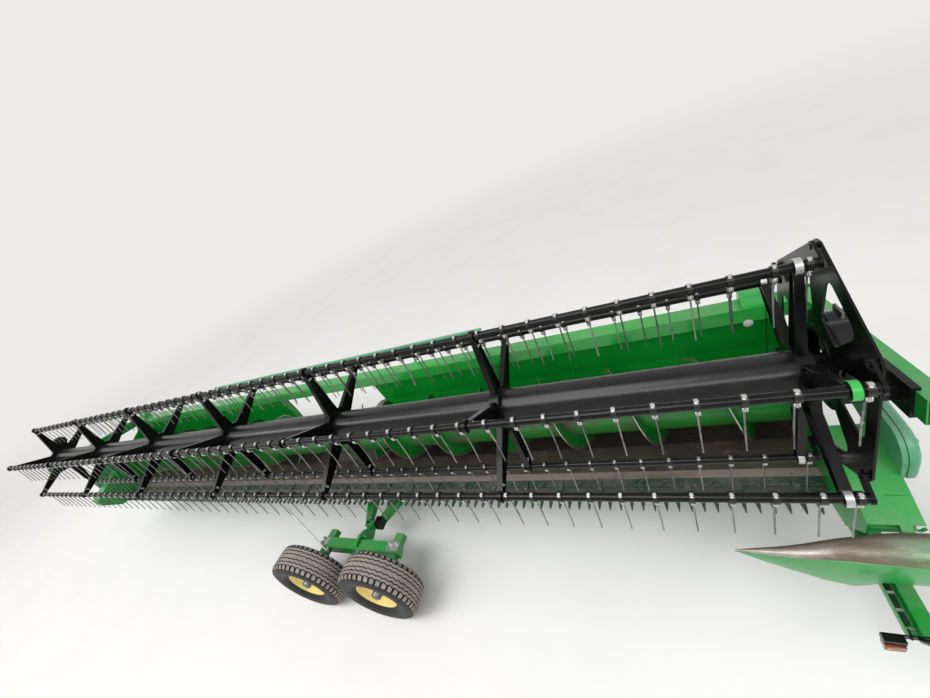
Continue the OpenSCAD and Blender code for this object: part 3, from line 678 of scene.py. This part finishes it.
def make_hub(index, x, side, steel, dark):
    """Hub, studs, nuts and valve in the wheel's dish."""
    bag = Bag()
    centre = Vector((x, TRAILER_Y + side * WHEEL_Y, TYRE_R))
    out = Vector((0, side, 0))
    cap = [(24, 62), (40, 62), (46, 48), (98, 44), (108, 36), (110, 10)]
    bag.lathe(centre, out, cap, 32, 1)
    for k in range(6):
        a = math.pi * (k + 0.5) / 3
        place = centre + Vector((78 * math.cos(a), 0, 78 * math.sin(a))) + out * 24
        bag.bolt(place, out, 27, 16, 0)
        bag.rod(place + out * 14, place + out * 30, 7, 10, 1, 1)
    valve = centre + Vector((118 * math.cos(0.7), 0, 118 * math.sin(0.7)))
    bag.rod(valve + out * 30, valve + out * 62, 5, 10, 1, 1)
    bag.make(f"hub_{index}", f"wheel_{index}", "cream_paint", steel, dark)


# Half of the tyre's section, from its middle outward: place across, radius, whether it zigzags,
# and whether it drops at a shoulder gap
RIBS = [
    (0, 380.0, 0, 0), (16.5, 380.0, 1, 0), (18.5, 369.0, 1, 0), (24.0, 369.0, 1, 0),
    (26.0, 380.0, 1, 0), (48.5, 380.0, 1, 0), (50.5, 369.0, 1, 0), (56.0, 369.0, 1, 0),
    (58.0, 380.0, 1, 0), (79.0, 379.0, 1, 0), (81.0, 368.0, 1, 0), (86.0, 368.0, 1, 0),
    (88.0, 378.5, 1, 1), (108.0, 371.0, 0, 1), (118.0, 360.0, 0, 1), (121.5, 348.0, 0, 0),
    (128.5, 324.0, 0, 0), (131.5, 300.0, 0, 0), (131.5, 284.0, 0, 0), (128.0, 262.0, 0, 0),
    (126.5, 258.0, 0, 0), (126.0, 250.0, 0, 0), (120.0, 236.0, 0, 0), (113.5, 226.0, 0, 0),
    (106.0, 214.0, 0, 0), (96.0, 205.0, 0, 0), (94.5, 196.5, 0, 0),
]
# Rows of the section that begin a groove's wall or floor, the shoulder's inner row and the tread's last
GROOVE_ROWS = {1, 2, 3, 5, 6, 7, 9, 10, 11}
SHOULDER_ROW = 12
LAST_TREAD_ROW = 14

# Steps in one pitch of the tread: place, zigzag from -1 to 1, and whether the shoulder has its gap
TREAD_STEPS = [
    (0.00, -1.0, False), (0.30, 0.2, False), (0.50, 1.0, False), (0.62, 0.52, False),
    (0.68, 0.28, True), (0.94, -0.76, True),
]
TREAD_PITCHES = 42
GAP_DEPTH = 13
ZIGZAG = 4.5


def tyre_section():
    """The whole section, each row with its number counted from the middle."""
    half = [(*row, n) for n, row in enumerate(RIBS)]
    mirrored = [(-across, radius, zig, gap, n) for across, radius, zig, gap, n in reversed(half[1:])]
    return mirrored + half


def make_tyre(index, x, side, black, dust):
    """A trailer tyre: zigzag ribs, square shoulder blocks and a plain sidewall."""
    section = tyre_section()
    rows = len(section)
    numbers = [n for *_, n in section]
    centre = Vector((x, TRAILER_Y + side * WHEEL_Y, TYRE_R))
    bag = Bag()
    dips = []
    for pitch in range(TREAD_PITCHES):
        for place, wave, gap_here in TREAD_STEPS:
            a = 2 * math.pi * (pitch + place) / TREAD_PITCHES
            dips.append(gap_here)
            for across, radius, zig, gap, _ in section:
                reach = radius - GAP_DEPTH * gap * gap_here
                wide = across + zig * wave * ZIGZAG
                bag.points.append(centre + Vector((reach * math.cos(a), wide, reach * math.sin(a))))
    for c in range(len(dips)):
        after = (c + 1) % len(dips)
        for r in range(rows - 1):
            a, b = c * rows + r, after * rows + r
            bag.faces.append((a, a + 1, b + 1, b))
            low, high = sorted(numbers[r:r + 2])
            on_top = high <= LAST_TREAD_ROW and low not in GROOVE_ROWS
            in_gap = high > SHOULDER_ROW and (dips[c] or dips[after])
            bag.kinds.append(1 if on_top and not in_gap else 0)
    made = bag.make(f"tyre_casing_{index}", f"wheel_{index}", "tyre_rubber", black, dust, smooth=28)
    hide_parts(f"tyre_{index}")


# The stored divider: place along it, half width, then heights of crown, edge and keel, all from its tip
DIVIDER_TIP = (3982, -300, 860)
DIVIDER_ROWS = [
    (0, 3, -3, -8, -14), (60, 11, 6, -4, -52), (130, 20, 15, -1, -96), (200, 27, 24, 2, -132),
    (260, 35, 37, 9, -163), (320, 42, 52, 20, -190), (385, 50, 77, 36, -226), (450, 57, 101, 50, -245),
    (510, 65, 112, 58, -258), (565, 72, 123, 66, -236), (620, 78, 134, 72, -195), (690, 84, 140, 78, -190),
    (780, 84, 140, 78, -190), (1060, 95, 142, 80, -185), (1400, 98, 142, 80, -185),
]


def make_divider(green, crown, dark):
    """The crop divider stored along the front: folded keel, rounded crown, and the arm that holds it."""
    tip = Vector(DIVIDER_TIP)
    crown_faces = 12
    bag = Bag()
    rings = []
    for x, w, top, edge, keel in DIVIDER_ROWS:
        chine = edge + 0.55 * (keel - edge)
        arc = [(0.97 * w * math.cos(math.radians(a)), edge + (top - edge) * math.sin(math.radians(a)))
               for a in range(180, -1, -180 // crown_faces)]
        hull = [(w, edge - 1), (w, edge - 6), (0.9 * w, chine), (0.32 * w, keel)]
        ring = arc + hull + [(-y, z) for y, z in reversed(hull)]
        rings.append([tip + Vector((x, y, z)) for y, z in ring])
    bag.skin(rings, 0)
    count = len(rings[0])
    for face in range((len(rings) - 1) * count):
        if face % count < crown_faces:
            bag.kinds[face] = 1
    bag.extrude([(-218.3, 894.6), (-216, 933), (-55, 1008), (-55, 974)], "X", 4689, 4735, 0)
    bag.extrude([(4624, 866), (4701, 834), (4756, 874), (4774, 1009), (4689, 1012)], "Y", -56, -50, 0)
    for x, z in ((4664, 880), (4740, 960)):
        bag.bolt((x, -56, z), (0, -1, 0), 26, 14, 2)
    made = bag.make("stored_divider", "platform", "painted_green", green, crown, dark, smooth=24)
    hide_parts("divider")


def beside(side, near, far):
    """Two distances from the trailer's middle as Y on one side, the lower first."""
    return sorted((TRAILER_Y + side * near, TRAILER_Y + side * far))


def make_light_bar(green):
    """The tube and tray across the trailer's end."""
    outer = [(4690, 444), (4694, 440), (4756, 440), (4760, 444),
             (4760, 496), (4756, 500), (4694, 500), (4690, 496)]
    inner = [(4695, 446), (4696, 445), (4754, 445), (4755, 446),
             (4755, 494), (4754, 495), (4696, 495), (4695, 494)]
    tray = [(4640, 440), (4691, 440), (4691, 446), (4646, 446), (4646, 480), (4640, 480)]
    y0, y1 = TRAILER_Y - LIGHT_BAR_REACH, TRAILER_Y + LIGHT_BAR_REACH
    bag = Bag()
    bag.plate(outer, [inner], "Y", y0, y1, 0)
    bag.extrude(tray, "Y", y0, y1, 0)
    bar = bag.make("light_bar_tube", "platform", "painted_green", green)
    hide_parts("light_bar")


def make_lamps(black, red, amber):
    """Lamps, their black housings and the marker arms at both ends of the light bar."""
    glass = [(4538, 412), (4542, 408), (4614, 408), (4618, 412), (4618, 452), (4538, 452)]
    tilt = math.radians(27)
    bag = Bag()
    for side in (-1, 1):
        near, far = beside(side, LIGHT_BAR_REACH, 986)
        bag.box((4535, near, 452), (4760, far, 484), 0)
        near, far = beside(side, 986, 1022)
        hood = [(near, 452), (far, 452), (far, 484), (far - 4, 490), (near, 490)]
        bag.extrude(hood, "X", 4535, 4620, 0)
        foot = (4685, TRAILER_Y + side * 990, 470)
        lean = (0, side * math.sin(tilt), math.cos(tilt))
        bag.lathe(foot, lean, [(0, 11), (6, 15), (128, 15), (135, 10)], 20, 0)
        bag.extrude(glass, "Y", *beside(side, 988, 1030), 1)
        near, far = beside(side, 1030, 1034)
        bag.box((4544, near, 414), (4574, far, 446), 2)
    lamps = bag.make("lamp_set", "platform", "lamp_lens", black, red, amber, smooth=28)
    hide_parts("lamps")


def by_bogie(side, *places):
    """X and Y of places given from the bogie's middle and the trailer's, on one side."""
    return [(BOGIE_X + x, TRAILER_Y + side * off) for x, off in places]


def make_bogies(green, light, dark):
    """Walking beams with their axles, the bent arms to the main beam, pivots and the lever."""
    arch = [(500, 310), (504, 380), (525, 386), (603, 444), (661, 470), (745, 469), (772, 459),
            (772, 446), (666, 446), (666, 300), (588, 280)]
    stub = [(0, 38), (14, 38), (14, 25), (239, 25), (241, 23)]
    knuckle = [(0, 54), (4, 60), (30, 60), (30, 25), (184, 25), (186, 23)]
    bag = Bag()
    for side in (-1, 1):
        out = Vector((0, side, 0))
        bag.extrude(by_bogie(side, (-435, 795), (-410, 687), (500, 687), (530, 795)), "Z", 336, BEAM_TOP, 0)
        for end in (-1, 1):
            x = end * AXLE_GAP / 2
            bar = by_bogie(side, (x - 45, 587), (x + 45, 587), (x + 45, 855), (x - 45, 855))
            bag.extrude(bar, "Z", 345, 415, 0)
            bag.lathe((BOGIE_X + x, TRAILER_Y + side * 850, TYRE_R), out, stub, 32, 2)
            arm = by_bogie(side, (end * 165, -1), (end * 341, -1), (end * 95, 480), (end * 42, 480))
            bag.extrude(arm, "Z", *ARM_Z, 0)
        bag.extrude(by_bogie(side, (-95, 455), (95, 455), (95, 505), (-95, 505)), "Z", *ARM_Z, 0)
        bag.extrude([(TRAILER_Y + side * off, z) for off, z in arch], "X", BOGIE_X - 16, BOGIE_X + 16, 0)
        pivot = Vector((BOGIE_X, TRAILER_Y + side * 636, TYRE_R))
        bag.lathe(pivot, out, knuckle, 40, 0)
        bag.lathe(pivot + out * 159, out, [(0, 38), (16, 38)], 6, 2)
    bag.wire([(372, -325, 420), (240, -269, 461), (-240, -55, 610), (-370, 0, 650)], 8, 12, 1)
    bag.box((358, -337, 400), (386, -295, 432), 1)
    made = bag.make("bogie_arms", "platform", "painted_green", green, light, dark)
    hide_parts("cross_axle", "walking_beams")


# The drive cover is these discs and a shape between them; its outline is found from a point inside
COVER_DISCS = [((185, 1115), 150), ((760, 1110), 170), ((900, 930), 170)]
COVER_MIDDLE = (600, 1150)


def in_cover(point, edge, grow):
    """Whether a point lies within the cover's discs or the shape between them."""
    return inside(point, edge) or any(math.dist(point, c) <= r + grow for c, r in COVER_DISCS)


def cover_outline(g):
    """The drive cover's outline, larger by this much."""
    edge = [(35 - g, 1115), (35 - g, 1026), (230, 1036), (420, 1072), (640, 1100), (732 - g, 910),
            (900, 930), (1066 + g, 970), (890 + g, 1220), (760, 1280 + g), (185, 1265 + g)]
    outline = []
    for k in range(150):
        t = 2 * math.pi * k / 150
        reach = 20.0
        point = COVER_MIDDLE
        while in_cover(point, edge, g):
            point = (COVER_MIDDLE[0] + reach * math.cos(t), COVER_MIDDLE[1] + reach * math.sin(t))
            reach += 2.0
        outline.append(point)
    return outline


def make_covers(light, dark, steel):
    """Moulded drive covers at both ends, the chain case on the right and the bearing cap on the left."""
    bag = Bag()
    steps = [(4774, 0), (4796, 0), (4796, -5), (4800, -5), (4800, 3), (4825, 3), (4838, -4), (4850, -18)]
    outlines = {grow: cover_outline(grow) for _, grow in steps}
    for end in (-1, 1):
        bag.skin([[Vector((end * x, y, z)) for y, z in outlines[grow]] for x, grow in steps], 0)
        for y, z in ((120, 1205), (420, 1215), (820, 1215), (985, 925), (110, 1075)):
            bag.bolt((end * 4849, y, z), (end, 0, 0), 26, 10, 2)
    bag.plate(wrap(AUGER_AT, 120, (1285, 760), 100), [disc((880, 930), 36)], "X", END_SHEET_X, 4644, 1)
    bag.rod((-4614, *AUGER_AT), (-END_SHEET_X, *AUGER_AT), 60, 40, 1, 4)
    for y, z in ((700, 930), (720, 1085), (1000, 985), (1120, 740), (1340, 700), (1350, 820)):
        bag.bolt((4643, y, z), (1, 0, 0), 22, 9, 2)
    made = bag.make("covers", "platform", "light_green", light, dark, steel)
    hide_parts("drive_covers")


def arm_block(bag, end, low, high):
    """A block set square to a reel arm, with its Y and Z given from the arm's hinge."""
    lean = math.atan(REEL_ARM_SLOPE)
    corners = [(low[1], low[2]), (high[1], low[2]), (high[1], high[2]), (low[1], high[2])]
    square = [(HINGE_AT[0] + y * math.cos(lean) + z * math.sin(lean),
               HINGE_AT[1] - y * math.sin(lean) + z * math.cos(lean)) for y, z in corners]
    bag.extrude(square, "X", end * low[0], end * high[0], 0)


def bolt_circle(bag, x, centre, radius, count, first, size, height):
    """Bolts in a circle on a plate at x, their heads away from the machine's middle."""
    out = math.copysign(1, x)
    for k in range(count):
        t = 2 * math.pi * (k + first) / count
        place = (x, centre[0] + radius * math.cos(t), centre[1] + radius * math.sin(t))
        bag.bolt(place, (out, 0, 0), size, height, 2)


def make_carriers(black, dark, steel):
    """Plates that carry the reel on its arms, the ring that steers the tines, and the drive at each end."""
    boss = [(0, 31), (0, 60), (30, 60), (34, 56), (34, 31)]
    holes = [disc(REEL_AT, 30.3), disc((38, 1745), 34, 32)]
    bag = Bag()
    for end in (-1, 1):
        bag.plate(wrap(REEL_AT, 115, (60, 1715.8), 125), holes, "X", *sorted((end * 4468, end * 4484)), 0)
        bag.lathe((end * 4483, *REEL_AT), (end, 0, 0), boss, 40, 0)
        arm_block(bag, end, (4675.6, -1320, -74.4), (4689.6, -1070, 74.4))
        arm_block(bag, end, (4688.6, -1320, -74.4), (4730, -1070, -60.4))
        arm_block(bag, end, (4688.6, -1320, 60.4), (4706, -1070, 74.4))
        arm_block(bag, end, (4483, -1250, -30), (4676.6, -1110, 30))
        bolt_circle(bag, end * 4516, REEL_AT, 45, 6, 0, 17, 9)
    bag.plate(disc(STEER_AT, 150, 72), [disc(STEER_AT, 128, 72)], "X", 4426, 4469, 0)
    bag.plate(wrap(STEER_AT, 156, REEL_AT, 115), [disc((98, 1900), 82, 48)], "X", 4466, 4474, 0)
    bag.extrude(wrap((190, 1922), 98, (165, 1980), 62), "X", 4483, 4583, 1)
    bag.lathe((4582, 190, 1922), (1, 0, 0), [(0, 84), (8, 84), (14, 48), (16, 20)], 40, 1)
    bag.extrude([(126, 2000), (210, 2000), (210, 2059), (126, 2059)], "X", 4528, 4538, 2)
    bolt_circle(bag, 4583, (190, 1922), 90, 8, 0.5, 15, 8)
    bag.extrude(wrap(REEL_AT, 95, (150, 2040), 70), "X", -4534, -4484, 1)
    bag.rod((-4658, 150, 2040), (-4533, 150, 2040), 52, 36, 1, 6)
    for y, z in ((-60, 1880), (20, 1770), (90, 2070), (200, 2060)):
        bag.bolt((-4533, y, z), (-1, 0, 0), 20, 9, 2)
    made = bag.make("carrier_plates", "carriers", "black_paint", black, dark, steel, smooth=28)
    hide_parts("reel_carriers")


def make_trim(dark, green, white):
    """Caps on the top beam, a block by the bogie, a hook, a reflector and a seam strip."""
    bag = Bag()
    cap = [(1075, 1557), (1107, 1611), (1120, 1611), (1133, 1633), (1195, 1633), (1195, 1557)]
    bag.extrude(cap, "X", 4367, 4567, 1)
    bag.extrude(cap, "X", -4567, -4367, 1)
    bag.box((840, -25, 340), (915, 70, 440), 0)
    bag.wire([(4770, -60, 960), (4770, -120, 947), (4774, -121, 880), (4786, -120, 813), (4812, -112, 792),
              (4836, -106, 806)], 8, 10, 1)
    bag.lathe((4395, 1043, 1437), (0, -1, 0), [(0, 30), (4, 30), (6, 26)], 28, 2)
    bag.box((4493, 1024, 1090), (4497, 1027, 1550), 0)
    bag.make("trim", "platform", "painted_green", dark, green, white)


def make_wiring(steel, dark):
    """Wiring, clips and fittings along the light bar's tray."""
    bag = Bag()
    run = [(4662, 40, 452), (4662, -60, 453), (4664, -150, 455), (4660, -240, 452), (4658, -330, 453),
           (4660, -420, 452), (4652, -476, 462), (4648, -492, 474)]
    bag.wire(run, 7, 8, 1)
    bag.wire([(x + 15, y, z + 1) for x, y, z in run[:6]], 5, 8, 1)
    for y in (-100, -185, -270, -355, -440):
        bag.box((4648, y - 7, 446), (4684, y + 7, 462), 0)
    bag.rod((4664, -60, 464), (4664, -112, 464), 13, 16, 0, 2)
    bag.bolt((4664, -112, 464), (0, -1, 0), 34, 16, 0)
    bag.bolt((4700, -484, 470), (0, -1, 0), 24, 12, 0)
    bag.bolt((4745, -484, 470), (0, -1, 0), 24, 12, 0)
    bag.make("light_bar_wiring", "platform", "rod_steel", steel, dark)


def make_camera():
    """Sets the camera where the photograph was taken from."""
    data = bpy.data.cameras.new("photo_camera")
    data.lens = CAMERA_LENS
    data.sensor_width = 36.0
    data.clip_start = 0.05
    data.clip_end = 600.0
    cam = bpy.data.objects.new("photo_camera", data)
    bpy.context.scene.collection.objects.link(cam)
    turn = math.radians(CAMERA_TURN)
    dip = math.radians(CAMERA_DIP)
    lean = math.radians(CAMERA_LEAN)
    forward = Vector((-math.sin(turn) * math.cos(dip), math.cos(turn) * math.cos(dip), -math.sin(dip)))
    level = forward.cross(Vector((0, 0, 1))).normalized()
    upright = level.cross(forward)
    right = level * math.cos(lean) - upright * math.sin(lean)
    up = level * math.sin(lean) + upright * math.cos(lean)
    pose = Matrix((right, up, -forward)).transposed().to_4x4()
    pose.translation = CAMERA_AT
    cam.matrix_world = pose
    bpy.context.scene.camera = cam


def soft_light(name, at, toward, size, power):
    """A soft rectangular light; size is its width and height in metres."""
    data = bpy.data.lights.new(name, "AREA")
    data.shape = "RECTANGLE"
    data.size, data.size_y = size
    data.energy = power
    lamp = bpy.data.objects.new(name, data)
    bpy.context.scene.collection.objects.link(lamp)
    lamp.location = at
    lamp.rotation_euler = (Vector(toward) - Vector(at)).to_track_quat("-Z", "Y").to_euler()


def make_world():
    """An even world that shows as the backdrop to the camera, and in metal and glass."""
    world = bpy.data.worlds.new("studio")
    world.use_nodes = True
    tree = world.node_tree
    even = tree.nodes["Background"]
    even.inputs["Color"].default_value = (1.0, 1.0, 1.0, 1.0)
    even.inputs["Strength"].default_value = WORLD_LIGHT
    seen = tree.nodes.new("ShaderNodeBackground")
    seen.inputs["Color"].default_value = (*BACKDROP, 1.0)
    seen.inputs["Strength"].default_value = 1.0
    path = tree.nodes.new("ShaderNodeLightPath")
    shown = path.outputs["Is Camera Ray"]
    for ray in ("Is Glossy Ray", "Is Transmission Ray"):
        either = tree.nodes.new("ShaderNodeMath")
        either.operation = "MAXIMUM"
        tree.links.new(shown, either.inputs[0])
        tree.links.new(path.outputs[ray], either.inputs[1])
        shown = either.outputs["Value"]
    pick = tree.nodes.new("ShaderNodeMixShader")
    tree.links.new(shown, pick.inputs["Fac"])
    tree.links.new(even.outputs["Background"], pick.inputs[1])
    tree.links.new(seen.outputs["Background"], pick.inputs[2])
    tree.links.new(pick.outputs["Shader"], tree.nodes["World Output"].inputs["Surface"])
    bpy.context.scene.world = world
    bpy.context.scene.view_settings.view_transform = "Standard"


def make_floor():
    """A pale floor that turns into the backdrop's colour far away."""
    bpy.ops.mesh.primitive_plane_add(size=800, location=(0, 0, 0))
    floor = bpy.context.object
    floor.name = "floor"
    grey = Finish("floor", (0.79, 0.78, 0.765), 0.55, specular=0.3)
    grey.layer(grey.band(grey.noise(0.8, 6.0), 0.40, 0.75), (0.76, 0.75, 0.735))
    far = grey.node("ShaderNodeVectorMath", Vector=grey.coordinate.outputs["Object"])
    far.operation = "LENGTH"
    glow = grey.node("ShaderNodeEmission", Color=(*BACKDROP, 1.0))
    blend = grey.node("ShaderNodeMixShader", Fac=grey.band(far.outputs["Value"], *FADE))
    grey.feed(grey.shader.outputs["BSDF"], blend.inputs[1])
    grey.feed(glow.outputs["Emission"], blend.inputs[2])
    grey.feed(blend.outputs["Shader"], grey.tree.nodes["Material Output"].inputs["Surface"])
    floor.data.materials.append(grey.mat)


def make_lights():
    """A wide sun and two soft lamps."""
    sun = bpy.data.lights.new("sky", "SUN")
    sun.energy = 1.25
    sun.angle = math.radians(35)
    sky = bpy.data.objects.new("sky", sun)
    bpy.context.scene.collection.objects.link(sky)
    sky.rotation_euler = Vector((0.25, 0.30, -1.0)).to_track_quat("-Z", "Y").to_euler()
    soft_light("long_light", (-1.0, -4.5, 7.0), (-0.5, 0.0, 1.5), (16.0, 1.6), 420)
    soft_light("end_light", (8.5, -3.5, 5.0), (4.0, 0.0, 1.5), (3.0, 3.0), 110)


make_camera()
make_world()
make_floor()
make_lights()

steel = zinc()
dark_steel = zinc("dark_steel", (0.16, 0.155, 0.150), 0.40)
black = gloss_black()
lime = paint("lime_paint", (0.020, 0.36, 0.050), (0.012, 0.27, 0.038))
green = paint("gloss_green", (0.006, 0.285, 0.040), (0.003, 0.205, 0.025))

FINISHES = {
    "painted_green": green,
    # The light green is paler and hazier than the gloss green: partly those parts' own lighter paint, partly
    # a painted reflection.
    "light_green": paint("light_green", (0.085, 0.330, 0.170), (0.050, 0.250, 0.110), 0.40, 0.15, 0.45),
    "worn_steel": trough_steel(),
    "strip_metal": strip_steel(),
    "dark_green": bar_green(),
    "blade_steel": blade_steel(),
    "black_paint": black,
    "rod_steel": steel,
    "spring_steel": spring_steel(),
    "lamp_lens": lens("lamp_lens", (0.30, 0.045, 0.012)),
    "tyre_rubber": rubber(),
    "cream_paint": cream(),
}

# Nodes whose look differs from the rest of their slot
SPECIAL = {
    # The back sheet and top beam take a lighter green, as painted light.
    "back_sheet": lit_sheet_green(),
    "top_beam": lit_sheet_green(),
    "auger_tube": auger_green(),
    "auger_flights": flight_green(),
    "reel_tube": satin_black(),
}
for i in range(6):
    SPECIAL[f"bat_{i + 1}"] = black
    SPECIAL[f"tines_{i + 1}"] = spring_steel(f"tine_steel_{i + 1}", bat_centre(i))

slot_of = {s["node"]: s["material_slot"] for s in frame["record"]["subparts"]}
for node, obj in NODES.items():
    obj.data.materials.clear()
    obj.data.materials.append(SPECIAL.get(node, FINISHES[slot_of[node]]))

make_divider(green, crown_sheet(), dark_steel)
make_light_bar(green)
make_lamps(black, FINISHES["lamp_lens"], lens("amber_lens", (0.40, 0.16, 0.012)))
make_bogies(green, steel, dark_steel)
make_covers(FINISHES["light_green"], black, dark_steel)
make_carriers(black, satin_black("case_black"), dark_steel)
make_trim(black, green, lens("white_lens", (0.6, 0.6, 0.58)))
make_tine_mounts(steel, black)
make_reel_clamps(steel, black, lime)
make_bar_bolts(dark_steel)
make_beam_clamps(steel, dark_steel)
make_wiring(steel, FINISHES["tyre_rubber"])

tread_dust = tread()
for index, (side, axle) in WHEELS.items():
    x = BOGIE_X + axle * AXLE_GAP / 2
    make_tyre(index, x, side, FINISHES["tyre_rubber"], tread_dust)
    make_hub(index, x, side, steel, dark_steel)
